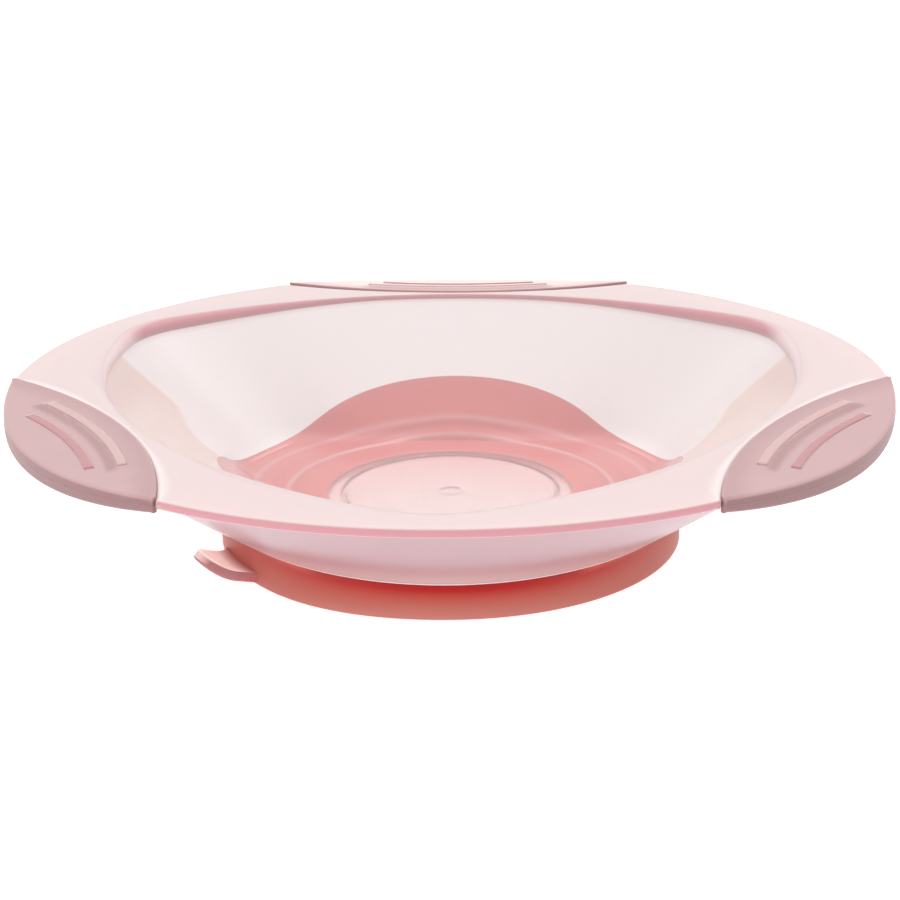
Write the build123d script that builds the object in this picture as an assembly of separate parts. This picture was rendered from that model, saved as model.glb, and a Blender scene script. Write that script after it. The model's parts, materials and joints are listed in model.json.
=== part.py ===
from build123d import *
import os
from math import atan, cos, degrees, radians, sin, tan

# A shallow three-lobed weaning bowl on a soft suction ring. Millimetres, +Z up.
# The origin is the centre of the suction ring, on the table. The three grips stand at 90, 210
# and 330 degrees about +Z, and the three lobes of the hollow lie between them.

# --- overall ---------------------------------------------------------------------------------
rim_radius = 95.0
rim_round = 0.7
flange_top = 36.4
flange_thick = 1.8
grips = {"back": 90, "left": 210, "right": 330}
lobes = (30, 150, 270)

# --- hollow: a rounded triangle at the lip and another at the floor ----------------------------
lip_side_radius = 119.9
lip_side = 72.5  # reach of the lip at a grip
lip_corner_radius = 21.8
lip_bevel = 0.6
floor_side_radius = 4000.0  # so flat that the floor's sides look straight
floor_side = 35.5
floor_corner_radius = 19.2
floor_top = 9.7
floor_under = 7.7
cove_radius = 6.0
cove_steps = 4
wall_slope = 37  # degrees above the floor, in the lobes
wall_drop = 1.2  # upright thickness of the wall, 1 mm measured square to it

# --- outer shell: a nearly round cone round the three-lobed wall ---------------------------------
cone_foot_height = 8.6
cone_foot_side_radius = 56.0
cone_foot_side = 52.3
cone_foot_corner_radius = 47.5
cone_top_side_radius = 95.0
cone_top_side = 88.8
cone_top_corner_radius = 87.5
cone_spread = 1.7  # level thickness of the cone, 1 mm measured square to it
weld_gap = 0.05  # left for the weld to the pads and the ring

# --- floor rings and gate mark ------------------------------------------------------------------
dish_radius = 33.0
dish_depth = 0.3
window_radius = 23.7
window_groove = 0.4
gate_radius = 2.5
gate_depth = 0.2

# --- grips: heights are measured from the flange top, on the grip's axis --------------------------
pad_arc_radius = 108.7  # the pad's inner edge is an arc that bulges towards the bowl
pad_arc_centre = 183.2
pad_radius = 95.4
pad_top_inner = 0.3
pad_top_outer = -1.6
pad_under_inner = -4.2
pad_under_outer = -6.0
pad_top_trough = 950.0  # the thumb rest and the pad's belly rise towards the pad's tips
pad_under_trough = 397.0
core_radius = 93.2
core_skin = 1.1  # soft material over the hard core
core_step = 1.6
rib_arc_radii = (103.0, 97.0)
rib_half_lengths = (23.0, 19.5)
rib_width = 1.8
rib_proud = 0.3

# --- suction ring -------------------------------------------------------------------------------
ring_radius = 51.0
band_inner = 48.6
skirt_inner = 49.6
skirt_bottom = 5.4
skin_thick = 1.0
skin_hole_radius = 27.5
foot_inner = 46.4
foot_height = 3.1
foot_round = 0.5
sleeve_radius = 49.3
sleeve_inner = 47.6
sleeve_top = 4.4

# --- pull tab -----------------------------------------------------------------------------------
tab_angle = 210
tab_width = 13.8
tab_thick = 2.3
tab_corner = 6.8
tab_root = 50.4
tab_height = 1.6
tab_run = 9.6
tab_curl = 45
tab_gap = 0.15
tab_relief = 0.6


def ray(reach, angle, z=0.0):
    """The point at a distance from +Z, in a direction about it."""
    return Vector(reach * cos(radians(angle)), reach * sin(radians(angle)), z)


def rounded_triangle(side_radius, side_reach, corner_radius, z, spread=0.0):
    """A face bounded by three bulging side arcs, each tangent to the corner arcs beside it."""
    offset = side_radius - side_reach
    gap = side_radius - corner_radius
    corner_reach = (gap**2 - (offset * sin(radians(60))) ** 2) ** 0.5 - offset * cos(radians(60))
    side_radius, corner_radius = side_radius + spread, corner_radius + spread

    def joint(lobe, grip):
        corner, centre = ray(corner_reach, lobe, z), ray(-offset, grip, z)
        return centre + (corner - centre).normalized() * side_radius

    edges = []
    for lobe in lobes:
        before, after = lobe - 60, lobe + 60
        tip = ray(corner_reach + corner_radius, lobe, z)
        middle = ray(side_radius - offset, after, z)
        edges.append(ThreePointArc(joint(lobe, before), tip, joint(lobe, after)))
        edges.append(ThreePointArc(joint(lobe, after), middle, joint(lobe + 120, after)))
    return Face(Wire(edges))


def lip_face(z, spread=0.0):
    return rounded_triangle(lip_side_radius, lip_side, lip_corner_radius, z, spread)


def floor_face(z, spread=0.0):
    return rounded_triangle(floor_side_radius, floor_side, floor_corner_radius, z, spread)


def cove(turn):
    """Height of the cove, and its spread past the floor's outline, where it has turned this far."""
    rise = cove_radius * (1 - cos(radians(turn)))
    spread = cove_radius * (sin(radians(turn)) - tan(radians(wall_slope / 2)))
    return floor_top + rise, spread


def hollow():
    """The food space, open at the top, with a cove round its floor and a bevelled lip."""
    sections = [floor_face(*cove(wall_slope * step / cove_steps)) for step in range(cove_steps + 1)]
    sections.append(lip_face(flange_top - lip_bevel))
    sections.append(lip_face(flange_top, lip_bevel))
    above = extrude(lip_face(flange_top, lip_bevel), amount=5, dir=(0, 0, 1))
    return loft(sections, ruled=True) + above


def outer_body():
    """The bowl's outer form below the flange, filled: the hollow's wall moved straight down."""
    height, spread = cove(wall_slope)
    knee = height - wall_drop
    foot_spread = spread - (knee - floor_under) / tan(radians(wall_slope))
    foot, bend = floor_face(floor_under, foot_spread), floor_face(knee, spread)
    return loft([foot, bend, lip_face(flange_top - flange_thick)], ruled=True)


def outer_cone(spread=0.0):
    """The outer shell's form from its foot up to the flange, filled."""
    foot = rounded_triangle(
        cone_foot_side_radius, cone_foot_side, cone_foot_corner_radius, cone_foot_height, spread
    )
    top = rounded_triangle(
        cone_top_side_radius, cone_top_side, cone_top_corner_radius, flange_top - flange_thick, spread
    )
    return loft([foot, top])


def grip_zone(radius, arc_radius, low, high, angle):
    """The part of a disc that lies within an arc's reach of a point far out along a grip's axis."""
    centre = ray(pad_arc_centre, angle, low)
    disc = extrude(Pos(0, 0, low) * Circle(radius), amount=high - low)
    reach = extrude(Pos(centre) * Circle(arc_radius), amount=high - low)
    return disc & reach


def trough(height_inner, height_outer, radius, angle):
    """A long cylinder whose lowest line runs outwards along a grip's axis, across its pad."""
    inner = pad_arc_centre - pad_arc_radius
    run = pad_radius - inner
    height = flange_top + (height_inner + height_outer) / 2
    lean = degrees(atan((height_inner - height_outer) / run))
    tube = extrude(Plane.YZ * Circle(radius), amount=60, both=True)
    return Rot(0, 0, angle) * Pos(inner + run / 2, 0, height) * Rot(0, lean, 0) * Pos(0, 0, radius) * tube


def pad_ceiling(angle):
    return trough(pad_top_inner, pad_top_outer, pad_top_trough, angle)


def pad_space(angle):
    """Everything above a pad's underside."""
    return trough(pad_under_inner, pad_under_outer, pad_under_trough, angle)


def rib(arc_radius, half_length, angle):
    """One arc rib that stands on a grip's core and comes through the pad."""
    low, high = flange_top - 3.0, flange_top + 1.0
    band = Circle(arc_radius + rib_width / 2) - Circle(arc_radius - rib_width / 2)
    strip = Pos(-arc_radius, 0) * Rectangle(30, 2 * half_length)
    bar = extrude(band & strip, amount=high - low)
    bar = Rot(0, 0, angle) * Pos(pad_arc_centre, 0, low) * bar
    return bar - Pos(0, 0, rib_proud) * pad_ceiling(angle)


def grip_core(angle):
    """The hard tongue inside a grip, the step that hangs it under the flange, and its ribs."""
    low, high = flange_top - 8.0, flange_top - flange_thick / 2
    core = grip_zone(core_radius, pad_arc_radius + core_step, low, high, angle)
    core &= Pos(0, 0, core_skin) * pad_space(angle)
    under_pad = grip_zone(core_radius + 5, pad_arc_radius, low, high + 5, angle)
    core -= under_pad & Pos(0, 0, -core_skin) * pad_ceiling(angle)
    for radius, half_length in zip(rib_arc_radii, rib_half_lengths):
        core += rib(radius, half_length, angle)
    return core


def floor_marks():
    """The shallow dish in the floor, the ring groove round its window and the gate mark."""
    dish_floor = floor_top - dish_depth
    dish = Pos(0, 0, floor_top) * Cylinder(dish_radius, 2 * dish_depth)
    groove = Pos(0, 0, dish_floor) * Torus(window_radius, window_groove)
    gate = Pos(0, 0, dish_floor) * Cylinder(gate_radius, 2 * gate_depth)
    return dish + groove + gate


def bowl_shell():
    """The hard bowl: flange, wall, floor, and the cores and ribs of its grips."""
    under_flange = flange_top - flange_thick
    flange = extrude(Pos(0, 0, under_flange) * Circle(rim_radius), amount=flange_thick)
    flange = fillet(flange.edges().filter_by(GeomType.CIRCLE), rim_round)
    shell = flange + outer_body() - hollow() - floor_marks()
    for angle in grips.values():
        shell -= grip_zone(rim_radius + 5, pad_arc_radius, under_flange - 1, flange_top + 1, angle)
        shell += grip_core(angle)
    return shell


def outer_shell():
    """A conical skin that hides the ring's band, welded under the flange and round the grips."""
    cone = outer_cone() - outer_cone(-cone_spread)
    cone -= extrude(Circle(ring_radius + weld_gap), amount=flange_top)
    for angle in grips.values():
        low, high = flange_top - 8.0, flange_top
        reach = pad_arc_radius + core_step + weld_gap
        room = grip_zone(rim_radius + 5, reach, low, high, angle)
        cone -= room & Pos(0, 0, -weld_gap) * pad_space(angle)
    return cone


def grip_pad(angle, shell):
    """A soft pad moulded round a grip's core, with the ribs showing through it."""
    low, high = flange_top - 8.0, flange_top + 1.0
    blank = grip_zone(pad_radius, pad_arc_radius, low, high, angle)
    return (blank & pad_space(angle)) - pad_ceiling(angle) - shell


def suction_collar():
    """The ring's fixed upper part: a band up to the wall, its skirt, and a skin under the floor."""
    top = flange_top - flange_thick
    web_under = floor_under - skin_thick
    skirt_height, band_height = web_under - skirt_bottom, top - web_under
    skirt = Circle(ring_radius) - Circle(skirt_inner)
    band = Circle(ring_radius) - Circle(band_inner)
    collar = extrude(Pos(0, 0, skirt_bottom) * skirt, amount=skirt_height)
    collar += extrude(Pos(0, 0, web_under) * band, amount=band_height)
    inside = extrude(Circle(ring_radius - 1) - Circle(skin_hole_radius), amount=top)
    collar += Pos(0, 0, -skin_thick) * outer_body() & inside
    return collar - outer_body()


def tab_place():
    """The hinge line of the tab: X points outwards, Z up."""
    return Plane(origin=ray(tab_root, tab_angle, tab_height), x_dir=ray(1, tab_angle)).location


def sealing_lip():
    """The ring's flexing lower edge: a foot on the table and a sleeve inside the skirt."""
    foot = extrude(Circle(ring_radius) - Circle(foot_inner), amount=foot_height)
    foot = fillet(foot.edges().group_by(Axis.Z)[0], foot_round)
    sleeve = extrude(Circle(sleeve_radius) - Circle(sleeve_inner), amount=sleeve_top)
    wide = tab_width + 2 * tab_gap
    barrel = Rot(90, 0, 0) * Cylinder(tab_thick / 2 + tab_gap, wide)
    room = Pos(10 - tab_relief, 0, 0) * Box(20, wide, 20)
    return foot + sleeve - tab_place() * (room + barrel)


def pull_tab():
    """A tongue that leaves the ring near the table and curls up to a rounded end."""
    half, bend = tab_thick / 2, tab_run / sin(radians(tab_curl))

    def spot(radius, turn):
        return (radius * sin(radians(turn)), bend - radius * cos(radians(turn)))

    tip = Vector(*spot(bend, tab_curl)) + Vector(cos(radians(tab_curl)), sin(radians(tab_curl))) * half
    profile = [
        ThreePointArc(spot(bend + half, 0), spot(bend + half, tab_curl / 2), spot(bend + half, tab_curl)),
        ThreePointArc(spot(bend + half, tab_curl), tip, spot(bend - half, tab_curl)),
        ThreePointArc(spot(bend - half, tab_curl), spot(bend - half, tab_curl / 2), spot(bend - half, 0)),
        ThreePointArc(spot(bend - half, 0), (-half, 0), spot(bend + half, 0)),
    ]
    tongue = extrude(Plane.XZ * Face(Wire(profile)), amount=tab_width / 2, both=True)
    long = 3 * tab_run
    outline = Pos(tip.X - long / 2, 0, -10) * RectangleRounded(long, tab_width, tab_corner)
    return tab_place() * (tongue & extrude(outline, amount=40))


os.makedirs("parts", exist_ok=True)
shell = bowl_shell()
export_step(shell, "parts/bowl_shell.step")
export_step(outer_shell(), "parts/outer_shell.step")
for name, angle in grips.items():
    export_step(grip_pad(angle, shell), f"parts/grip_pad_{name}.step")
export_step(suction_collar(), "parts/suction_collar.step")
export_step(sealing_lip(), "parts/sealing_lip.step")
export_step(pull_tab(), "parts/pull_tab.step")
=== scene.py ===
import json
import math

import bmesh
import bpy
import numpy as np
from mathutils import Matrix, Vector


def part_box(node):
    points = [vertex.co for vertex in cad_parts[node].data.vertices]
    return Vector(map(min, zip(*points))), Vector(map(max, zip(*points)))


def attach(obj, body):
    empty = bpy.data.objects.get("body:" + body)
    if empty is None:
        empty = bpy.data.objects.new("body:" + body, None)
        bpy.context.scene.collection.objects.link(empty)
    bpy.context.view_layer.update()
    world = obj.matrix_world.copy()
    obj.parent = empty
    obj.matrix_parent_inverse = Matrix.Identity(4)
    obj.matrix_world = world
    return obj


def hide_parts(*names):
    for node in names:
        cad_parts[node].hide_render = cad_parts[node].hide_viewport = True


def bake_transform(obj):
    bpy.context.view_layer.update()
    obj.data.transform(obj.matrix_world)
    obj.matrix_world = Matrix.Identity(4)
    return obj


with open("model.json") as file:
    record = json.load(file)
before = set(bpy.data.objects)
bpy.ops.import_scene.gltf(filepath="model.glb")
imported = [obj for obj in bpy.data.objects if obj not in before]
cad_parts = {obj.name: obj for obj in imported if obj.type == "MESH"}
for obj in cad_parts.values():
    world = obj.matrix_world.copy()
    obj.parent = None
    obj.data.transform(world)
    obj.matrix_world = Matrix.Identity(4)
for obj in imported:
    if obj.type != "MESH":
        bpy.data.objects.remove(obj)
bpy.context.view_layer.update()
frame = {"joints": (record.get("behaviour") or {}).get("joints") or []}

# Lengths are millimetres, and MM turns them into the frame's metres. Heights are above the table.
MM = 0.001

# --- what the frame gives -----------------------------------------------------------------------
shell_low, shell_high = (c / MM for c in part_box("bowl_shell"))
cone_low, cone_high = (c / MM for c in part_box("outer_shell"))
lip_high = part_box("sealing_lip")[1] / MM
pad_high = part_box("grip_pad_back")[1] / MM
tab_joint = next(j for j in frame["joints"] if j["name"] == "tab_lift")
FLANGE = 1.8
RIM = shell_high.x  # radius of the rim
TOP = cone_high.z + FLANGE  # the flange's upper face
UNDER = shell_low.z  # the floor's underside
RING = lip_high.x  # radius of the suction ring
PAD_RIM = pad_high.y  # outer radius of a thumb pad

# --- the bowl's form ------------------------------------------------------------------------------
GRIPS = {"back": 90, "left": 210, "right": 330}
GAP = 0.05  # between pieces that touch
WALL_DROP = 1.2  # upright thickness of the wall
FLOOR = UNDER + 2.0
LIP_SIDE, LIP_SIDE_RADIUS, LIP_CORNER = 72.5, 119.9, 21.8
FLOOR_SIDE, FLOOR_SIDE_RADIUS, FLOOR_CORNER = 35.5, 4000.0, 19.2
CONE_FOOT, CONE_FOOT_RADIUS, CONE_FOOT_CORNER = 52.3, 56.0, 47.5
CONE_TOP, CONE_TOP_RADIUS, CONE_TOP_CORNER = 88.8, 95.0, 87.5
CONE_THICK = 1.7  # level thickness of the outer shell
# a pad's inner edge is an arc about a point beyond the rim, on the grip's axis
PAD_ARC, PAD_CENTRE = 108.7, 183.2
PAD_LENGTH = 20.8
PAD_PROUD, PAD_FALL, PAD_TROUGH = 0.3, 1.9, 950.0  # of the top: above the flange, outwards, sideways
BELLY_DROP, BELLY_FALL, BELLY_TROUGH = 4.2, 1.8, 397.0  # of the underside
TAB_HALF_WIDTH, TAB_THICK = 6.9, 2.3
TAB_RUN, TAB_CURL = 9.6, 45
TAB_SOFT = 0.4  # rounding of the tab's edges
TAB_INSIDE = 1.0  # the tab begins this far inside its hinge line
FLARE, FLARE_ANGLE = 0.8, 236  # the foot reaches out a little in front of the tab
DISH_DEPTH = 0.35
DISH_EDGE = 35.3, 36.7  # the dish's edge rises between these radii
RING_INNER = 47.0  # inside of the ring, where the skin under the floor begins
BELL = RING + 0.4  # the ring shows through the wall as far out as this
SKIN_HOLE = 27.5  # radius of the hole in the skin, under the window
RIB_ARCS = ((103.0, 23.0), (97.0, 19.5))  # radius about a pad's centre, and half length
RIB_WIDTH = 1.8
RIB_PROUD = 0.25
PAD_TIP = math.degrees(
    math.acos((RIM**2 + PAD_CENTRE**2 - PAD_ARC**2) / (2 * RIM * PAD_CENTRE))
)


def mix(a, b, t):
    """a at 0, b at 1 and in proportion between."""
    return a + (b - a) * t


def step(low, high, x):
    """0 below low, 1 above high and smooth between."""
    t = np.clip((x - low) / (high - low), 0.0, 1.0)
    return t * t * (3 - 2 * t)


def hump(x, middle, width):
    """1 at the middle and 0 beyond the width on either side."""
    return 1 - step(0, width, np.abs(x - middle))


def soft_max(a, b, width):
    """The greater of two heights, with the bend between them rounded."""
    t = np.clip(0.5 + 0.5 * (a - b) / width, 0.0, 1.0)
    return mix(b, a, t) + width * t * (1 - t)


def soft_min(a, b, width):
    """The lesser of two heights, with the bend between them rounded."""
    return -soft_max(-a, -b, width)


def quarter(count, first=0):
    """Steps round a quarter turn: each gives how far it has left its start and neared its end."""
    for t in np.linspace(0, 1, count)[first:]:
        turn = t * math.pi / 2
        yield 1 - math.cos(turn), math.sin(turn)


def from_grip(angles):
    """Degrees from the nearest grip's axis, from -60 to 60."""
    return (np.asarray(angles, float) - 90 + 60) % 120 - 60


def triangle_reach(angles, side, side_radius, corner_radius):
    """How far a rounded triangle reaches at each angle about +Z. Its sides face the grips."""
    away = np.abs(from_grip(angles))
    offset = side_radius - side
    gap = side_radius - corner_radius
    corner = math.sqrt(gap**2 - (offset * math.sin(math.radians(60))) ** 2)
    corner -= offset * math.cos(math.radians(60))
    a, b = np.radians(away), np.radians(60 - away)
    on_side = -offset * np.cos(a) + np.sqrt(side_radius**2 - (offset * np.sin(a)) ** 2)
    inside = np.maximum(corner_radius**2 - (corner * np.sin(b)) ** 2, 0)
    on_corner = corner * np.cos(b) + np.sqrt(inside)
    ends_x = corner * math.sin(math.radians(60))
    ends_y = corner * math.cos(math.radians(60)) + offset
    length = math.hypot(ends_x, ends_y)
    meet_x = ends_x / length * side_radius
    meet_y = ends_y / length * side_radius - offset
    meet = math.degrees(math.atan2(meet_x, meet_y))
    return np.where(away < meet, on_side, on_corner)


def lobe_share(angles):
    """0 on a grip's axis and 1 in the middle of a lobe."""
    return step(12, 60, np.abs(from_grip(angles)))


def pad_edge(angles):
    """Where a thumb pad begins, as a radius, and where the flange has its own rim elsewhere."""
    away = np.radians(np.abs(from_grip(angles)))
    inside = PAD_ARC**2 - (PAD_CENTRE * np.sin(away)) ** 2
    arc = PAD_CENTRE * np.cos(away) - np.sqrt(np.maximum(inside, 0))
    return np.where(np.degrees(away) < PAD_TIP, arc, RIM)


def bevel_run(angles):
    """Width of the bevel on the flange's edge, which widens towards a pad's tips."""
    away = np.abs(from_grip(angles))
    return mix(0.7, mix(0.6, 2.3, step(8, PAD_TIP, away)), step(-0.6, 0.6, PAD_TIP - away))


class Section:
    """The bowl's heights along every direction at once: each value is an array over angles."""

    def __init__(self, angles):
        lobe = lobe_share(angles)
        self.mouth = triangle_reach(angles, LIP_SIDE, LIP_SIDE_RADIUS, LIP_CORNER)
        self.foot = triangle_reach(angles, FLOOR_SIDE, FLOOR_SIDE_RADIUS, FLOOR_CORNER)
        self.lip_run = mix(0.45, 2.5, lobe)
        self.lip_drop = mix(1.0, 2.8, lobe)
        self.wall_top = TOP - self.lip_drop
        self.wall_reach = self.mouth - self.lip_run
        self.slope = (self.wall_top - FLOOR) / (self.wall_reach - self.foot)
        self.edge = pad_edge(angles)

    def inside(self, r):
        """Height of the hollow's surface: the dish, the floor and the wall."""
        wall = FLOOR + (r - self.foot) * self.slope
        base = soft_max(np.full_like(wall, FLOOR), wall, 2.6)
        dish = FLOOR - DISH_DEPTH
        return mix(dish, base, step(*DISH_EDGE, r))

    def outside(self, r):
        """Height of the underside of the floor and the wall."""
        wall = FLOOR + (r - self.foot) * self.slope - WALL_DROP
        return soft_max(np.full_like(wall, UNDER), wall, 1.6)

    def underneath(self, r):
        """The same, but never above the flange's underside."""
        under_flange = np.full_like(self.foot, TOP - FLANGE)
        return soft_min(under_flange, self.outside(r), 1.4)


def bowl_angles(count=384):
    """Evenly spread angles, with the nearest ones moved onto the pads' corners."""
    angles = np.arange(count) * 360 / count
    for grip in GRIPS.values():
        for side in (-1, 1):
            corner = (grip + side * PAD_TIP) % 360
            angles[np.argmin(np.abs(angles - corner))] = corner
    return angles


def polar(angles, r, z):
    """A loop of points about +Z. The radius and the height are single values or arrays."""
    a = np.radians(angles)
    r = np.broadcast_to(r, a.shape)
    z = np.broadcast_to(z, a.shape)
    return np.stack([r * np.cos(a), r * np.sin(a), z], 1)


def make_object(name, points, faces):
    """A smooth object from points in millimetres."""
    mesh = bpy.data.meshes.new(name)
    mesh.from_pydata([tuple(p) for p in np.asarray(points) * MM], [], faces)
    mesh.validate()
    mesh.shade_smooth()
    obj = bpy.data.objects.new(name, mesh)
    bpy.context.scene.collection.objects.link(obj)
    return obj


def loops_object(name, loops, closed, start_pole=None, end_pole=None):
    """A surface through a list of loops with equal counts.

    closed joins the last loop to the first. A pole closes an end with a fan."""
    loops = [np.asarray(loop) for loop in loops]
    n = len(loops[0])
    points = np.concatenate(loops)
    faces = []
    pairs = [(i, i + 1) for i in range(len(loops) - 1)]
    if closed:
        pairs.append((len(loops) - 1, 0))
    for a, b in pairs:
        for i in range(n):
            j = (i + 1) % n
            faces.append((a * n + i, a * n + j, b * n + j, b * n + i))
    for pole, row, flip in ((start_pole, 0, True), (end_pole, len(loops) - 1, False)):
        if pole is not None:
            points = np.concatenate([points, [pole]])
            tip = len(points) - 1
            for i in range(n):
                a, b = row * n + i, row * n + (i + 1) % n
                faces.append((tip, b, a) if flip else (tip, a, b))
    obj = make_object(name, points, faces)
    outward(obj)
    return obj


def outward(obj):
    """Turns a closed mesh's faces outwards."""
    bm = bmesh.new()
    bm.from_mesh(obj.data)
    bmesh.ops.recalc_face_normals(bm, faces=bm.faces)
    bm.to_mesh(obj.data)
    bm.free()


# --- pieces -----------------------------------------------------------------------------------------
def make_bowl():
    """The inner shell: window, dish, wall, lip and flange, then its underside back to the middle."""
    angles = bowl_angles()
    s = Section(angles)
    loops = []

    def ring(r, z):
        loops.append(polar(angles, r, z))

    dish = FLOOR - DISH_DEPTH
    # the gate mark, the window and its groove
    for r, z in ((1.0, -0.10), (2.0, -0.12), (2.5, 0.10), (2.9, 0.02), (3.6, 0)):
        ring(r, dish + z)
    for r in np.linspace(6, 22, 5):
        ring(r, dish)
    for r, z in ((22.9, 0), (23.3, -0.06), (23.6, -0.28), (24.0, -0.28), (24.3, -0.05), (24.8, 0)):
        ring(r, dish + z)
    for r, z in ((26.4, 0), (27.0, 0.03), (27.6, 0.22), (28.2, 0.25)):
        ring(r, dish + z * 0.6)
    for r in (30.0, 33.0, 34.6):
        ring(r, dish + 0.15 * (1 - step(30, 34, r)))
    for r in np.linspace(*DISH_EDGE, 6):
        ring(r, s.inside(r))
    # the wall, with two loops close together where the ring stops showing through it
    for t in np.linspace(0, 1, 24)[1:]:
        r = mix(np.full_like(angles, DISH_EDGE[1]), BELL - 0.1, t)
        ring(r, s.inside(r))
    for t in np.linspace(0, 1, 24):
        r = mix(BELL + 0.1, s.wall_reach - 0.15, t)
        ring(r, s.inside(r))
    ring(s.wall_reach, s.inside(s.wall_reach))
    ring(s.wall_reach + 0.02, s.wall_top + 0.12)
    # the lip: steep, then rounded over onto the flange
    for out, up in quarter(10, 1):
        ring(s.wall_reach + s.lip_run * out**0.9 * 1.25, s.wall_top + s.lip_drop * up)
    # the flange's upper face, and its edge: a bevel where a pad begins, a small round elsewhere
    near_pad = step(-0.6, 0.6, PAD_TIP - np.abs(from_grip(angles)))
    bevel_drop = mix(0.6, 0.4, near_pad)
    inner = s.mouth + s.lip_run * 0.25 + 0.02
    outer = np.maximum(s.edge - bevel_run(angles), inner + 0.2)
    for t in np.linspace(0, 1, 8)[1:]:
        ring(mix(inner, outer, t), TOP)
    for down, out in quarter(6, 1):
        ring(outer + (s.edge - outer) * out, TOP - bevel_drop * down)
    under = TOP - FLANGE
    edge_round = 0.5
    ring(s.edge, mix(TOP - bevel_drop, under + edge_round, 0.5))
    for back, down in quarter(4):
        ring(s.edge - edge_round * back, under + edge_round * (1 - down))
    # the underside, back to the centre
    for t in np.linspace(0, 1, 60)[1:]:
        r = mix(s.edge - edge_round, 30.0, t)
        ring(r, s.underneath(r))
    for r in (24.0, 16.0, 8.0, 3.0):
        ring(r, UNDER)
    return loops_object("bowl", loops, False, (0, 0, dish - 0.10), (0, 0, UNDER))


def outer_face_share(points):
    """1 on the outer shell's outer face, and 0 on its inner face."""
    around = np.degrees(np.arctan2(points[:, 1], points[:, 0]))
    foot = triangle_reach(around, CONE_FOOT, CONE_FOOT_RADIUS, CONE_FOOT_CORNER)
    top = triangle_reach(around, CONE_TOP, CONE_TOP_RADIUS, CONE_TOP_CORNER)
    outer = mix(foot, top, (points[:, 2] - cone_low.z) / (cone_high.z - cone_low.z))
    return step(-CONE_THICK * 0.7, -CONE_THICK * 0.4, np.hypot(points[:, 0], points[:, 1]) - outer)


def cone_ceiling(angles, r):
    """How high the outer shell may reach: the flange's underside, or a pad's belly."""
    away = np.abs(from_grip(angles))
    belly = pad_under(r, away)
    under_pad = step(-2.6, -1.7, r - pad_edge(angles)) * (away < PAD_TIP)
    return mix(TOP - FLANGE, np.minimum(belly, TOP - FLANGE), under_pad) - GAP


def make_outer_shell():
    """The conical skin between the flange and the ring, with a rounded foot."""
    angles = bowl_angles()
    foot = triangle_reach(angles, CONE_FOOT, CONE_FOOT_RADIUS, CONE_FOOT_CORNER)
    top = triangle_reach(angles, CONE_TOP, CONE_TOP_RADIUS, CONE_TOP_CORNER)
    low = cone_low.z
    rise = (TOP - FLANGE - low) / (top - foot)

    def reach_under_ceiling(inset):
        """Where the outer or the inner face meets what is above it, found by stepping outwards."""
        found = top - inset
        for share in np.linspace(1, 0.6, 400):
            r = mix(foot, top, share) - inset
            height = low + (r + inset - foot) * rise
            found = np.where(height > cone_ceiling(angles, r), r, found)
        return found

    loops = []
    outer_end = reach_under_ceiling(0)
    inner_end = np.minimum(reach_under_ceiling(CONE_THICK), outer_end - 0.4)
    inner_foot = np.maximum(foot - CONE_THICK, RING + 0.1)
    foot_round = np.minimum(0.55, (foot - inner_foot) * 0.45)
    for back, down in reversed(list(quarter(7))):
        r = foot - foot_round * back
        z = low + foot_round * (1 - down) + (r - foot) * 0.3
        loops.append(polar(angles, r, np.maximum(z, low)))
    begin = foot + 0.25
    for t in np.linspace(0, 1, 40):
        r = mix(begin, outer_end, t)
        loops.append(polar(angles, r, low + (r - foot) * rise + foot_round * (1 - t) ** 8 * 0.4))
    for t in (0.3, 0.7, 1.0):
        r = mix(outer_end, inner_end, t)
        loops.append(polar(angles, r, cone_ceiling(angles, r)))
    for t in np.linspace(0, 1, 40)[1:]:
        r = mix(inner_end, inner_foot, t)
        loops.append(polar(angles, r, np.maximum(low + (r + CONE_THICK - foot) * rise, low + 0.1)))
    return loops_object("outer_skin", loops, True)


def rib_swell(off, v):
    """1 under the first rib: a soft swell with a short flank towards the rim."""
    long = 1 - step(RIB_ARCS[0][1] - 1.0, RIB_ARCS[0][1] + 3.0, abs(v))
    return float(step(-3.4, -1.2, off) * (1 - step(1.0, 5.0, off)) * long)


def pad_frame(r, away):
    """A place on a pad: out along its axis, across it, and the share of its length passed."""
    a = np.radians(away)
    u, v = r * np.cos(a), r * np.sin(a)
    return u, v, (u - (PAD_CENTRE - PAD_ARC)) / PAD_LENGTH


def pad_plain_top(v, along):
    """The upper face without its swell: it falls towards the rim and rises to the tips."""
    return TOP + PAD_PROUD - PAD_FALL * along + v**2 / (2 * PAD_TROUGH)


def pad_top(r, away):
    """Height of a thumb pad's upper face, before its edges are rounded."""
    u, v, along = pad_frame(r, away)
    swell = 0.3 * rib_swell(math.hypot(PAD_CENTRE - u, v) - RIB_ARCS[0][0], v)
    return pad_plain_top(v, along) + swell


def pad_under(r, away):
    """Height of a thumb pad's underside."""
    u, v, along = pad_frame(r, away)
    return TOP - BELLY_DROP - BELLY_FALL * along + v**2 / (2 * BELLY_TROUGH)


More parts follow.
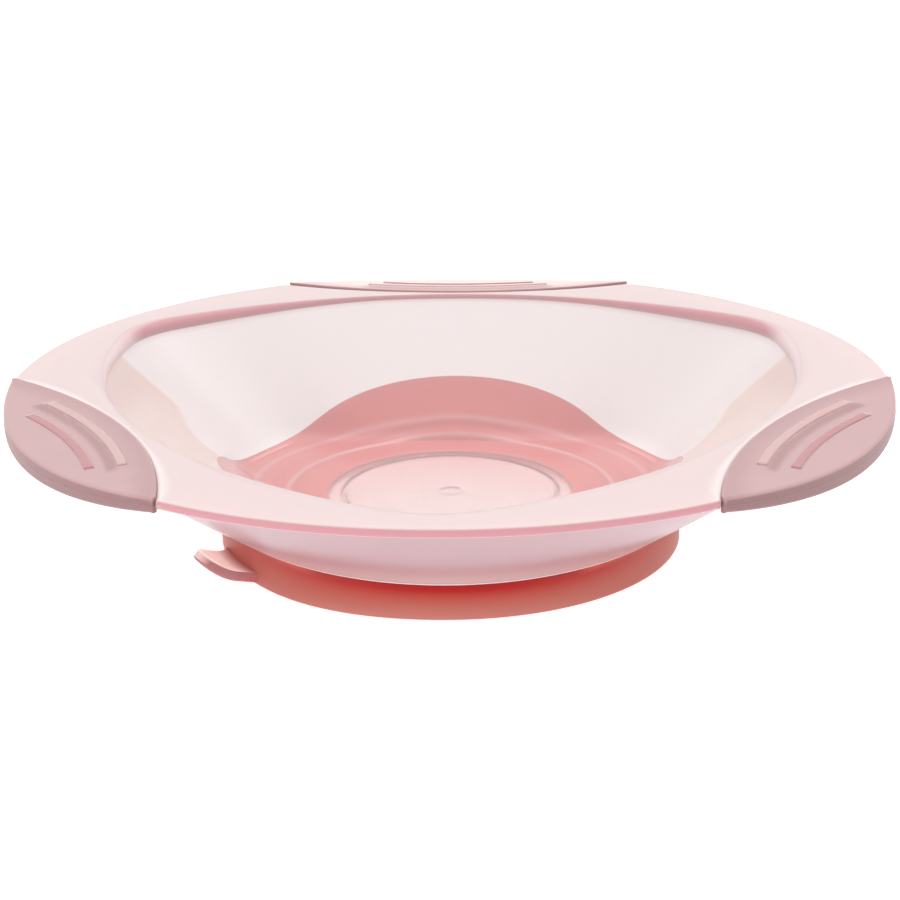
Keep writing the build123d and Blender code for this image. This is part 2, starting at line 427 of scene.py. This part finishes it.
def pad_section(grip, away):
    """A pad's outline in one direction: up its inner edge, over its top and rim, and back below."""
    inner = pad_edge(grip + away) + 0.04
    wide = PAD_RIM - inner
    small = min(0.45, wide * 0.2)
    edge = min(0.9, wide * 0.42)
    start = PAD_RIM - edge
    top_outer, low_outer = pad_top(start, away), pad_under(start, away)
    thick = top_outer - low_outer
    high = min(edge * 0.85, thick * 0.42)
    deep = min(edge * 0.8, thick * 0.38)
    z_in = pad_top(inner, away)
    section = [(inner + small * out, z_in - small * (1 - up)) for out, up in quarter(4)]
    for t in np.linspace(0, 1, 26)[1:]:
        r = mix(inner + small, start, t)
        section.append((r, pad_top(r, away)))
    section += [(start + edge * out, top_outer - high * down) for down, out in quarter(8, 1)]
    z_a, z_b = top_outer - high, low_outer + deep
    for t in (0.35, 0.45, 0.5, 0.55, 0.65):
        section.append((PAD_RIM + 0.06 * (t == 0.5), mix(z_a, z_b, t)))
    section += [(PAD_RIM - edge * back, z_b - deep * down) for back, down in quarter(8)]
    for t in np.linspace(0, 1, 12)[1:]:
        r = mix(start, inner, t)
        section.append((r, pad_under(r, away)))
    return section


def upright(section, angle):
    """Stands an outline of (radius, height) points up in one direction."""
    a = math.radians(angle)
    return [(r * math.cos(a), r * math.sin(a), z) for r, z in section]


def make_pad(name, grip):
    """A thumb pad: outlines side by side from tip to tip, closer together near the tips."""
    columns = []
    for share in np.sin(np.linspace(-1, 1, 97) * math.pi / 2):
        away = share * (PAD_TIP - 0.35)
        columns.append(upright(pad_section(grip, away), grip + away))
    first, last = np.mean(columns[0], 0), np.mean(columns[-1], 0)
    return loops_object(name, columns, False, first, last)


def pad_shade(points, grip):
    """Where a pad is painted darker as shade: its sides, the step beside the flange, a strip along its
    inner edge, and the swell's flank.
    """
    reach = np.hypot(points[:, 0], points[:, 1])
    away = np.degrees(np.arctan2(points[:, 1], points[:, 0])) - grip
    away = np.abs((away + 180) % 360 - 180)
    u, v, along = pad_frame(reach, away)
    arc = np.hypot(PAD_CENTRE - u, v)
    rib_arc, rib_half = RIB_ARCS[0]
    below = step(0.25, 0.7, pad_plain_top(v, along) - points[:, 2])
    side = below * step(PAD_RIM - 2.0, PAD_RIM - 0.8, reach) * 0.95
    wall = step(-0.25, -0.1, arc - PAD_ARC) * 0.7
    strip = step(-7.0, -1.0, arc - PAD_ARC) * (1 - below) * 0.3
    flank = step(-3.6, -2.6, arc - rib_arc) * (1 - step(-1.3, -0.8, arc - rib_arc))
    flank = flank * (1 - step(rib_half, rib_half + 2.0, v)) * (1 - below) * 0.55
    return np.max([side, wall, strip, flank], axis=0)


def make_rib(name, grip, arc, half):
    """One hard rib: a bar with squared ends that follows an arc and stands just out of the pad."""
    corner, w, sunk = 0.16, RIB_WIDTH / 2, -1.0 - RIB_PROUD
    flank = ((w, sunk), (w, -corner), (w - corner * 0.3, -corner * 0.3), (w - corner, 0))
    profile = [(-off, rise) for off, rise in flank] + list(reversed(flank))
    columns = []
    for t in np.linspace(-1, 1, 41):
        turn = math.asin(t * half / arc)
        section = []
        for off, rise in profile:
            u = PAD_CENTRE - (arc + off) * math.cos(turn)
            v = (arc + off) * math.sin(turn)
            r, away = math.hypot(u, v), math.degrees(math.atan2(v, u))
            z = pad_top(r, away) + RIB_PROUD + rise
            section += upright([(r, z)], grip + away)
        columns.append(section)
    first, last = np.mean(columns[0], 0), np.mean(columns[-1], 0)
    return loops_object(name, columns, False, first, last)


def make_ring():
    """The whole soft ring in one: skin under the floor, band up to the wall, and the foot."""
    angles = bowl_angles()
    s = Section(angles)
    loops = []

    def ring(r, z):
        loops.append(polar(angles, r, z))

    skin = 1.0
    brim_reach = RING - 0.35
    for r in np.linspace(SKIN_HOLE, brim_reach, 26):
        ring(r, s.underneath(r) - GAP)
    brim = s.underneath(np.full_like(angles, brim_reach)) - GAP
    ring(RING - 0.1, brim - 0.12)
    # the outside: slightly bulged, and reaching out in front of the tab
    flare = FLARE * hump(angles % 360, FLARE_ANGLE, 36)
    for t in (0, 0.1, 0.2, 0.3, 0.4, 0.5, 0.65, 0.8, 0.9, 1):
        z = mix(brim - 0.5, 1.2, t)
        bulge = 0.35 * (1 - step(0, 9, np.abs(z - 3.0)))
        ring(RING - 0.3 + bulge * 0.85 + flare * (1 - step(0.5, 5, z)), z)
    foot_round = 0.6
    for back, down in quarter(7, 1):
        ring(RING + flare - foot_round * back, foot_round * (1 - down))
    # the inside, which rests on the table and leans in to seal
    for r, z in ((49.0, 0), (47.6, 0.05), (46.6, 0.6), (46.4, 1.4), (47.0, 2.6), (48.2, 4.0)):
        ring(r, z)
    inner_top = s.underneath(np.full_like(angles, RING_INNER)) - GAP - skin
    ring(48.4, np.minimum(5.4, inner_top - 0.6))
    ring(48.0, np.minimum(6.0, inner_top - 0.2))
    for t in np.linspace(0, 1, 20):
        r = mix(RING_INNER, SKIN_HOLE, t)
        ring(r, s.underneath(np.full_like(angles, r)) - GAP - skin)
    return loops_object("suction_ring", loops, True)


def tab_outline(length):
    """The tab from above, from its root round its end: along, across, and which way is outwards."""
    nose = length - TAB_HALF_WIDTH

    def edge(side, shares):
        """One side, which widens where it meets the ring."""
        return [
            (mix(-TAB_INSIDE, nose, t), side * (TAB_HALF_WIDTH + 3.5 * (1 - t) ** 2.5), 0, side)
            for t in shares
        ]

    end = []
    for turn in np.radians(np.linspace(-90, 90, 29)[1:-1]):
        c, n = math.cos(turn), math.sin(turn)
        end.append((nose + TAB_HALF_WIDTH * c, TAB_HALF_WIDTH * n, c, n))
    return edge(-1, np.linspace(0, 1, 14)) + end + edge(1, np.linspace(1, 0, 14))


def tab_rim(t):
    """The tab's side from its lower face to its upper: inset from the outline, and lift."""
    half = TAB_THICK / 2
    if t < 0.25:
        turn = t / 0.25 * math.pi / 2
        return TAB_SOFT * (1 - math.sin(turn)), -half + TAB_SOFT * (1 - math.cos(turn))
    if t > 0.75:
        turn = (t - 0.75) / 0.25 * math.pi / 2
        return TAB_SOFT * (1 - math.cos(turn)), half - TAB_SOFT * (1 - math.sin(turn))
    return 0.0, mix(-half + TAB_SOFT, half - TAB_SOFT, (t - 0.25) / 0.5)


def tab_dish(share, along):
    """How far the tab's upper face sinks: a shallow hollow with faint wrinkles across it."""
    fall = 0.35 * (1 - share**2) * step(-0.5, 3, along)
    ripple = 0.06 * math.sin(along * 2.1 + share * 3) * (1 - share)
    return fall + ripple * step(1, 4, along)


def make_tab():
    """The pull tab: a thick tongue with a round end that curls up, dished on top."""
    hinge = np.array(tab_joint["pos_m"]) / MM
    angle = math.atan2(hinge[1], hinge[0])
    out = np.array([math.cos(angle), math.sin(angle), 0.0])
    side = np.array([-math.sin(angle), math.cos(angle), 0.0])
    bend = TAB_RUN / math.sin(math.radians(TAB_CURL))
    half = TAB_THICK / 2
    middle = 1.5  # the faces close in on this place along the tab
    outline = tab_outline(bend * math.radians(TAB_CURL))

    def place(along, across, lift):
        """A point of the tongue: millimetres along its curl, across it, and off its middle."""
        turn = max(along, 0) / bend
        run = bend * math.sin(turn) if along > 0 else along
        rise = bend * (1 - math.cos(turn)) if along > 0 else 0.0
        point = hinge + out * (run - math.sin(turn) * lift) + side * across
        point[2] += rise + math.cos(turn) * lift
        return point

    def face_loop(share, lift):
        """The outline drawn in to a share of its size, with its height above the tab's middle."""
        loop = []
        for a, w, na, nw in outline:
            along = mix(middle, a - 0.5 * na, share)
            loop.append(place(along, (w - 0.5 * nw) * share, lift(mix(middle, a, share))))
        return loop

    loops = [face_loop(share, lambda along: -half) for share in (0.15, 0.5, 0.8)]
    for t in np.linspace(0, 1, 13):
        inset, lift = tab_rim(t)
        loops.append([place(a - inset * na, w - inset * nw, lift) for a, w, na, nw in outline])
    for share in (0.93, 0.88, 0.8, 0.7, 0.58, 0.44, 0.28, 0.12):
        sink = step(0.97, 0.85, share)
        loops.append(face_loop(share, lambda along: half - tab_dish(share, along) * sink))
    low = place(middle, 0, -half)
    high = place(middle, 0, half - tab_dish(0, middle))
    return loops_object("tab", loops, False, low, high)


# --- materials --------------------------------------------------------------------------------------
SHELL_CLEAR = 0.8  # share of light that goes through the wall
SHELL_THIN = (0.94, 0.83, 0.82)
SHELL_MILK = (0.74, 0.59, 0.58)
# the wall's own colour where the ring doesn't show behind it, also used for painted highlights
SHELL_WALL = (0.96, 0.85, 0.84)
# deeper pink of the rim seen edge-on, also used for painted shade on the lip and on the floor's circles
SHELL_EDGE = (0.62, 0.30, 0.335)
SHELL_BELL = (0.86, 0.41, 0.40)
# pink of several layers of plastic, and painted shade, on the outer shell's face
SHELL_LAYERED_SHADE = (0.52, 0.305, 0.34)
# painted reflection on the wall beside the grips, shown at a low angle
SHELL_PAINTED_REFLECTION = (0.88, 0.67, 0.63)
PAINTED_SHEEN_PINK = (0.90, 0.72, 0.70)  # painted sheen on pads and ribs seen at a low angle
GRIP_SHADE = (0.31, 0.165, 0.17)


def new_material(name):
    """An empty material, with its node tree and its output node."""
    mat = bpy.data.materials.new(name)
    mat.use_nodes = True
    tree = mat.node_tree
    tree.nodes.clear()
    out = tree.nodes.new("ShaderNodeOutputMaterial")
    return mat, tree, out


def add_node(tree, kind, **values):
    """Makes a shader node, and sets its inputs by name; an underscore stands for a space."""
    node = tree.nodes.new(kind)
    for key, value in values.items():
        node.inputs[key.replace("_", " ")].default_value = value
    return node


def ramp(tree, factor, stops):
    """A colour ramp through (place, colour) stops."""
    node = tree.nodes.new("ShaderNodeValToRGB")
    elements = node.color_ramp.elements
    while len(elements) < len(stops):
        elements.new(0.5)
    for element, (place, color) in zip(elements, stops):
        element.position = place
        element.color = (*color, 1)
    tree.links.new(factor, node.inputs["Fac"])
    return node.outputs["Color"]


def blend_colors(tree, factor, a, b):
    """Mixes two colours, each a socket or a plain colour."""
    node = tree.nodes.new("ShaderNodeMix")
    node.data_type = "RGBA"
    for name, value in (("A", a), ("B", b)):
        socket = next(i for i in node.inputs if i.name == name and i.type == "RGBA")
        if isinstance(value, tuple):
            socket.default_value = (*value, 1)
        else:
            tree.links.new(value, socket)
    tree.links.new(factor, node.inputs[0])
    return next(o for o in node.outputs if o.type == "RGBA")


def mottle(tree, scale, detail=3.0):
    """A soft noise in object space, for the unevenness that moulding leaves."""
    place = tree.nodes.new("ShaderNodeTexCoord")
    noise = add_node(tree, "ShaderNodeTexNoise", Scale=scale, Detail=detail)
    tree.links.new(place.outputs["Object"], noise.inputs["Vector"])
    return noise.outputs["Fac"]


def bump(tree, height, strength, distance):
    """A surface direction roughened by a height."""
    node = add_node(tree, "ShaderNodeBump", Strength=strength, Distance=distance)
    tree.links.new(height, node.inputs["Height"])
    return node.outputs["Normal"]


def painted(tree, name):
    """A share that paint() stored on the mesh."""
    node = tree.nodes.new("ShaderNodeAttribute")
    node.attribute_name = name
    return node.outputs["Fac"]


def times(tree, a, b):
    """The product of two shares."""
    node = tree.nodes.new("ShaderNodeMath")
    node.operation = "MULTIPLY"
    tree.links.new(a, node.inputs[0])
    tree.links.new(b, node.inputs[1])
    return node.outputs[0]


def spread(tree, value, low, high, first=0.0, last=1.0):
    """Goes from its first value to its last as another value goes from low to high."""
    node = add_node(
        tree, "ShaderNodeMapRange", From_Min=low, From_Max=high, To_Min=first, To_Max=last
    )
    tree.links.new(value, node.inputs["Value"])
    return node.outputs["Result"]


def grazing(tree, low, high, first=0.0, last=1.0):
    """Goes from its first value to its last as the surface turns away from the eye."""
    facing = add_node(tree, "ShaderNodeLayerWeight", Blend=0.5)
    return spread(tree, facing.outputs["Facing"], low, high, first, last)


def upright_part(tree, vector):
    """The Z part of a direction or a place."""
    split = tree.nodes.new("ShaderNodeSeparateXYZ")
    tree.links.new(vector, split.inputs["Vector"])
    return split.outputs["Z"]


def height_mm(tree, low, high):
    """0 at one height above the table and 1 at another."""
    place = tree.nodes.new("ShaderNodeTexCoord")
    return spread(tree, upright_part(tree, place.outputs["Object"]), low * MM, high * MM)


def shell_material():
    """Milky pink polypropylene. Painted shares say how milky it is, where it is pinker, and where painted
    highlights, painted shade and a painted reflection fall.
    """
    mat, tree, out = new_material("pp_shell")
    p = add_node(
        tree, "ShaderNodeBsdfPrincipled", Roughness=0.2, IOR=1.49, Subsurface_Weight=0.3,
        Subsurface_Radius=(1.0, 0.7, 0.7), Subsurface_Scale=0.003, Specular_IOR_Level=0.4,
    )
    milk = painted(tree, "milk")
    tree.links.new(spread(tree, milk, 0.0, 1.0, SHELL_CLEAR, 0.0), p.inputs["Transmission Weight"])
    color = blend_colors(tree, milk, SHELL_THIN, SHELL_MILK)
    color = blend_colors(tree, painted(tree, "bell"), color, SHELL_BELL)
    # lighter wall, and painted highlights
    color = blend_colors(tree, painted(tree, "wall"), color, SHELL_WALL)
    # painted reflection, shown only at a low angle
    reflection_patch = times(tree, painted(tree, "reflection_patch"), grazing(tree, 0.3, 0.55))
    color = blend_colors(tree, reflection_patch, color, SHELL_PAINTED_REFLECTION)
    # deeper pink of edges seen edge-on, and painted shade, both weaker at a low angle
    pink = times(tree, painted(tree, "edge"), grazing(tree, 0.4, 0.7, 1.0, 0.3))
    color = blend_colors(tree, pink, color, SHELL_EDGE)
    # painted shade and the pink of several layers, on the outer shell's face
    color = blend_colors(tree, painted(tree, "layered_shade"), color, SHELL_LAYERED_SHADE)
    tree.links.new(color, p.inputs["Base Color"])
    tree.links.new(bump(tree, mottle(tree, 90), 0.06, 0.0005), p.inputs["Normal"])
    tree.links.new(p.outputs[0], out.inputs["Surface"])
    absorb = add_node(tree, "ShaderNodeVolumeAbsorption", Color=(0.97, 0.62, 0.64, 1), Density=45)
    tree.links.new(absorb.outputs[0], out.inputs["Volume"])
    return mat


def grip_material():
    """Dusty pink elastomer with a fine satin grain, with painted shade on its sides and beside the flange.
    """
    mat, tree, out = new_material("tpe_grip")
    p = add_node(
        tree, "ShaderNodeBsdfPrincipled", Roughness=0.46, IOR=1.48, Subsurface_Weight=0.35,
        Subsurface_Radius=(1.0, 0.5, 0.45), Subsurface_Scale=0.002,
    )
    color = blend_colors(tree, mottle(tree, 60), (0.50, 0.325, 0.33), (0.54, 0.355, 0.36))
    # painted sheen at a low angle
    color = blend_colors(tree, grazing(tree, 0.74, 0.88, 0.0, 0.95), color, PAINTED_SHEEN_PINK)
    color = blend_colors(tree, painted(tree, "shade"), color, GRIP_SHADE)
    tree.links.new(color, p.inputs["Base Color"])
    tree.links.new(bump(tree, mottle(tree, 1800, 2), 0.12, 0.0002), p.inputs["Normal"])
    tree.links.new(p.outputs[0], out.inputs["Surface"])
    return mat


# the coral by height above the table, as a share of 10 mm, with painted shade making it deeper and redder
# up under the shell's overhang
RING_COLOR_AND_SHADE = (
    (0.0, (0.66, 0.27, 0.23)),
    (0.27, (0.60, 0.17, 0.13)),
    (0.45, (0.58, 0.10, 0.07)),
    (0.55, (0.55, 0.05, 0.035)),
    (0.64, (0.54, 0.004, 0.006)),
    (0.75, (0.46, 0.002, 0.004)),
)
RING_LIMB = (0.52, 0.14, 0.11)
RING_INSIDE = (0.92, 0.20, 0.18)
TAB_SIDE = (0.50, 0.22, 0.23)
TAB_ROOT = (0.58, 0.13, 0.12)
# painted light: the glow of the tab's faces that look up
TAB_PAINTED_GLOW = (0.36, 0.30, 0.285)
BLACK = (0.0, 0.0, 0.0)


def ring_material():
    """Coral elastomer with painted shade: deep red where the shell overhangs it, paling towards the table.
    """
    mat, tree, out = new_material("tpe_ring")
    p = add_node(
        tree, "ShaderNodeBsdfPrincipled", Roughness=0.42, IOR=1.48, Subsurface_Weight=0.3,
        Subsurface_Radius=(1.0, 0.25, 0.2), Subsurface_Scale=0.0015, Specular_IOR_Level=0.25,
    )
    height_shade = ramp(tree, height_mm(tree, 0, 10), RING_COLOR_AND_SHADE)
    face = blend_colors(tree, grazing(tree, 0.04, 0.5, 0.0, 0.8), height_shade, RING_LIMB)
    color = blend_colors(tree, painted(tree, "outside"), RING_INSIDE, face)
    tree.links.new(color, p.inputs["Base Color"])
    tree.links.new(bump(tree, mottle(tree, 1500, 2), 0.1, 0.0002), p.inputs["Normal"])
    tree.links.new(p.outputs[0], out.inputs["Surface"])
    return mat


def tab_material():
    """The same elastomer where it is thin: it lets light through. Faces that look up are painted pale and
    glow a little, as painted light, except near its root.
    """
    mat, tree, out = new_material("tpe_tab")
    p = add_node(
        tree, "ShaderNodeBsdfPrincipled", Roughness=0.35, IOR=1.48, Transmission_Weight=0.15,
        Subsurface_Weight=0.5, Subsurface_Radius=(1.0, 0.5, 0.45), Subsurface_Scale=0.004,
    )
    surface = tree.nodes.new("ShaderNodeNewGeometry")
    painted_lit_top = spread(tree, upright_part(tree, surface.outputs["Normal"]), 0.55, 0.8)
    root = painted(tree, "root")
    pale = blend_colors(tree, mottle(tree, 300), (0.86, 0.64, 0.60), (1.0, 0.88, 0.84))
    color = blend_colors(tree, painted_lit_top, TAB_SIDE, pale)
    color = blend_colors(tree, root, color, TAB_ROOT)
    tree.links.new(color, p.inputs["Base Color"])
    glow = blend_colors(tree, painted_lit_top, BLACK, TAB_PAINTED_GLOW)
    glow = blend_colors(tree, root, glow, BLACK)
    tree.links.new(glow, p.inputs["Emission Color"])
    p.inputs["Emission Strength"].default_value = 1.0
    tree.links.new(bump(tree, mottle(tree, 700, 3), 0.25, 0.0004), p.inputs["Normal"])
    tree.links.new(p.outputs[0], out.inputs["Surface"])
    return mat


def rib_material():
    """The same polypropylene, backed by the soft pad, so it reads as solid pink."""
    mat, tree, out = new_material("pp_rib")
    p = add_node(
        tree, "ShaderNodeBsdfPrincipled", Roughness=0.25, IOR=1.49, Transmission_Weight=0.12,
        Subsurface_Weight=0.4, Subsurface_Radius=(1.0, 0.6, 0.6), Subsurface_Scale=0.002,
    )
    color = blend_colors(tree, painted(tree, "deep"), (0.67, 0.43, 0.42), (0.54, 0.26, 0.27))
    # painted sheen at a low angle
    color = blend_colors(tree, grazing(tree, 0.74, 0.88, 0.0, 0.95), color, PAINTED_SHEEN_PINK)
    tree.links.new(color, p.inputs["Base Color"])
    tree.links.new(bump(tree, mottle(tree, 400), 0.05, 0.0003), p.inputs["Normal"])
    tree.links.new(p.outputs[0], out.inputs["Surface"])
    return mat


def paint(obj, name, values):
    """Stores one share per vertex, which a material reads with painted()."""
    data = obj.data.attributes.new(name, "FLOAT", "POINT").data
    data.foreach_set("value", np.asarray(values, dtype=np.float32))


def corners(obj):
    """A mesh's vertices in millimetres."""
    points = np.empty(len(obj.data.vertices) * 3)
    obj.data.vertices.foreach_get("co", points)
    return points.reshape(-1, 3) / MM


def paint_bowl(bowl):
    """Where the bowl is milky or clear, where the coral ring shows through, and where it is pinker."""
    points = corners(bowl)
    reach, heights = np.hypot(points[:, 0], points[:, 1]), points[:, 2]
    around = np.degrees(np.arctan2(points[:, 1], points[:, 0]))
    away = np.abs(from_grip(around))
    near = Section(around)
    in_hollow = heights > FLOOR - 1.0
    # the rim and the lip, and a painted highlight on the bevel beside the pads
    rim_band = step(RIM - 0.45, RIM - 0.15, reach) * (1 - step(TOP - 0.4, TOP, heights))
    past_lip = step(near.mouth - 1.0, near.mouth + 0.6, reach)
    on_lip = step(-0.6, 0.4, reach - near.wall_reach) * (1 - step(-0.5, 1.0, reach - near.mouth))
    on_lip = on_lip * step(near.wall_top - 0.6, near.wall_top + 0.2, heights)
    painted_bevel_highlight = step(-0.05, 0.05, reach - (near.edge - bevel_run(around))) * (away < PAD_TIP)
    painted_bevel_highlight = painted_bevel_highlight * step(TOP - 1.5, TOP - 1.2, heights)
    # the ring seen through the floor, and painted shade and painted highlight lines on and around the
    # floor's raised and sunk circles
    off_bell = step(-0.09, 0.09, reach - BELL)
    on_bell = (1 - off_bell) * step(26.5, 28.0, reach) * in_hollow
    ring_line_mask = (1 - off_bell) * in_hollow
    painted_shade_rings = hump(reach, 39.8, 1.6) * 0.3 + hump(reach, 33.9, 1.2) * 0.3 + hump(reach, 23.7, 0.8) * 0.4
    outer_highlight_radius = 41 + 4.5 * step(10, 50, away)
    painted_highlight_rings = hump(reach, 36.4, 0.9) * 0.4 + hump(reach, outer_highlight_radius, 1.3) * 0.25
    # a painted reflection: a warmer area on the wall to either side of a grip
    painted_reflection_patch = 1 - step(-0.8, 0.8, away - mix(32, 47, step(53, 68, reach)))
    painted_reflection_patch = painted_reflection_patch * off_bell * (1 - step(-0.3, 0.3, reach - near.wall_reach))
    painted_reflection_patch = painted_reflection_patch * (heights > near.inside(reach) - 0.5)
    milky = [past_lip * 0.85, on_lip * 0.8, rim_band, off_bell * 0.7, painted_bevel_highlight * 0.8, on_bell * 0.5]
    paint(bowl, "milk", np.max(milky, axis=0))
    paint(bowl, "bell", on_bell)
    paint(bowl, "reflection_patch", painted_reflection_patch)
    # lighter wall where the ring doesn't show behind it, and painted highlights on the bevel and on the
    # floor's circles
    paint(bowl, "wall", np.max([off_bell * (1 - past_lip), painted_bevel_highlight * 0.7, painted_highlight_rings * ring_line_mask], axis=0))
    # deeper pink of the rim seen edge-on, painted shade on the lip's turn, and the painted shade lines on
    # the floor; none on the bevel's painted highlight
    edges = [rim_band, on_lip * 0.9, painted_shade_rings * ring_line_mask]
    paint(bowl, "edge", np.max(edges, axis=0) * (1 - painted_bevel_highlight))
    paint(bowl, "layered_shade", np.zeros(len(points)))


def paint_outer_shell(outer):
    """A milky outer face, pinker from the layers of plastic and darker as painted shade above its foot,
    with a painted highlight line along the foot.
    """
    points = corners(outer)
    face = outer_face_share(points)
    rise = np.clip((points[:, 2] - cone_low.z) / (cone_high.z - cone_low.z), 0, 1)
    painted_foot_highlight = 1 - step(cone_low.z + 0.3, cone_low.z + 0.5, points[:, 2])
    paint(outer, "milk", face * mix(1.0, 0.9, step(0.05, 0.4, rise)))
    # painted highlight: a light line along the foot
    paint(outer, "wall", painted_foot_highlight)
    # painted shade and the pink of several layers, rising from the foot
    paint(outer, "layered_shade", face * step(-0.02, 0.34, rise) * (1 - 0.6 * painted_foot_highlight))
    for unused in ("bell", "reflection_patch", "edge"):
        paint(outer, unused, np.zeros(len(points)))


def reach_of(obj):
    """How far each vertex is from the bowl's axis."""
    points = corners(obj)
    return np.hypot(points[:, 0], points[:, 1])


def paint_ring(ring):
    """The ring's outside, up to where the shell hides it."""
    on_side = step(RING - 1.6, RING - 0.8, reach_of(ring))
    paint(ring, "outside", on_side * step(-9.0, -8.2, -corners(ring)[:, 2]))


# --- assembly ---------------------------------------------------------------------------------------
pp = shell_material()
tpe_grip = grip_material()
tpe_ring = ring_material()
tpe_tab = tab_material()
pp_rib = rib_material()


def finish_piece(obj, material, slot, *nodes):
    """Gives a piece its material, and hides the CAD nodes that it stands for. The slot is not used."""
    obj.data.materials.append(material)
    if nodes:
        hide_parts(*nodes)


bowl = make_bowl()
paint_bowl(bowl)
finish_piece(bowl, pp, "pp_shell", "bowl_shell")
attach(bowl, "bowl")

outer = make_outer_shell()
paint_outer_shell(outer)
finish_piece(outer, pp, "pp_shell", "outer_shell")
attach(outer, "bowl")

for name, grip in GRIPS.items():
    pad = make_pad("thumb_pad_" + name, grip)
    paint(pad, "shade", pad_shade(corners(pad), grip))
    finish_piece(pad, tpe_grip, "tpe_grip", "grip_pad_" + name)
    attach(pad, "bowl")
    for number, (arc, half) in enumerate(RIB_ARCS, 1):
        rib = make_rib(f"rib_{name}_{number}", grip, arc, half)
        paint(rib, "deep", np.full(len(rib.data.vertices), number - 1.0))
        finish_piece(rib, pp_rib, "pp_shell")
        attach(rib, "bowl")

ring = make_ring()
paint_ring(ring)
finish_piece(ring, tpe_ring, "tpe_ring", "suction_collar", "sealing_lip")
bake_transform(ring)

tab = make_tab()
paint(tab, "root", 1 - step(RING - 0.6, RING + 4.2, reach_of(tab)))
finish_piece(tab, tpe_tab, "tpe_ring", "pull_tab")
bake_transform(tab)


# --- floor, light and camera ----------------------------------------------------------------------
def make_floor():
    """A plain white floor, a hair under the ring."""
    mesh = bpy.data.meshes.new("floor")
    mesh.from_pydata([(-4, -4, 0), (4, -4, 0), (4, 4, 0), (-4, 4, 0)], [], [(0, 1, 2, 3)])
    floor = bpy.data.objects.new("floor", mesh)
    bpy.context.scene.collection.objects.link(floor)
    floor.location.z = -0.0002
    mat, tree, out = new_material("floor")
    d = add_node(tree, "ShaderNodeBsdfDiffuse", Color=(0.4, 0.4, 0.4, 1))
    glow = add_node(tree, "ShaderNodeEmission", Color=(1, 1, 1, 1), Strength=0.85)
    both = tree.nodes.new("ShaderNodeAddShader")
    tree.links.new(d.outputs[0], both.inputs[0])
    tree.links.new(glow.outputs[0], both.inputs[1])
    tree.links.new(both.outputs[0], out.inputs["Surface"])
    floor.data.materials.append(mat)


def area_light(name, place, size, power):
    """A soft rectangular lamp that points at the bowl and leaves no glint."""
    target = Vector((0, 0, 0.02))
    data = bpy.data.lights.new(name, "AREA")
    data.shape = "RECTANGLE"
    data.size, data.size_y = size
    data.energy = power
    light = bpy.data.objects.new(name, data)
    bpy.context.scene.collection.objects.link(light)
    light.location = place
    light.rotation_euler = (target - Vector(place)).to_track_quat("-Z", "Y").to_euler()
    light.visible_glossy = False


def make_world():
    """White where it is seen directly or through the bowl, and softer near the horizon as light."""
    world = bpy.data.worlds.new("studio")
    bpy.context.scene.world = world
    world.use_nodes = True
    tree = world.node_tree
    background = tree.nodes["Background"]
    background.inputs["Color"].default_value = (1, 1, 1, 1)
    place = tree.nodes.new("ShaderNodeTexCoord")
    sky = spread(tree, upright_part(tree, place.outputs["Generated"]), 0.0, 0.9, 0.6, 1.1)
    ray = tree.nodes.new("ShaderNodeLightPath")
    seen = tree.nodes.new("ShaderNodeMath")
    seen.operation = "MAXIMUM"
    tree.links.new(ray.outputs["Is Camera Ray"], seen.inputs[0])
    tree.links.new(ray.outputs["Is Transmission Ray"], seen.inputs[1])
    pick = tree.nodes.new("ShaderNodeMix")
    pick.inputs["B"].default_value = 1.0
    tree.links.new(seen.outputs[0], pick.inputs["Factor"])
    tree.links.new(sky, pick.inputs["A"])
    tree.links.new(pick.outputs["Result"], background.inputs["Strength"])


def make_camera():
    """A long lens a little above the rim, turned slightly and aimed just under the rim's centre."""
    radius = 94.76 * MM  # of the rim at its widest line
    elevation, distance = math.radians(16.247), 4.3796 * radius
    turn = math.radians(1.7094)
    dip = math.radians(2.328)
    rim_centre = Vector((0, 0, 36.6 * MM))
    back = Vector((0, -math.cos(elevation), math.sin(elevation)))
    aim = Vector((0, math.cos(elevation + dip), -math.sin(elevation + dip)))
    spin = Matrix.Rotation(turn, 3, "Z")
    data = bpy.data.cameras.new("camera")
    data.sensor_width = 36
    data.lens = 75.85
    data.clip_start = 0.01
    camera = bpy.data.objects.new("camera", data)
    bpy.context.scene.collection.objects.link(camera)
    camera.location = rim_centre + spin @ back * distance
    camera.rotation_mode = "QUATERNION"
    look = (spin @ aim).to_track_quat("-Z", "Y")
    roll = Matrix.Rotation(math.radians(0.598), 3, spin @ aim).to_quaternion()
    camera.rotation_quaternion = roll @ look
    bpy.context.scene.camera = camera


make_floor()
make_world()
area_light("key", (0.25, 0.5, 0.9), (0.8, 0.6), 5)
area_light("fill", (-0.8, -0.7, 0.7), (0.7, 0.7), 3)
make_camera()
bpy.context.scene.view_settings.view_transform = "Standard"
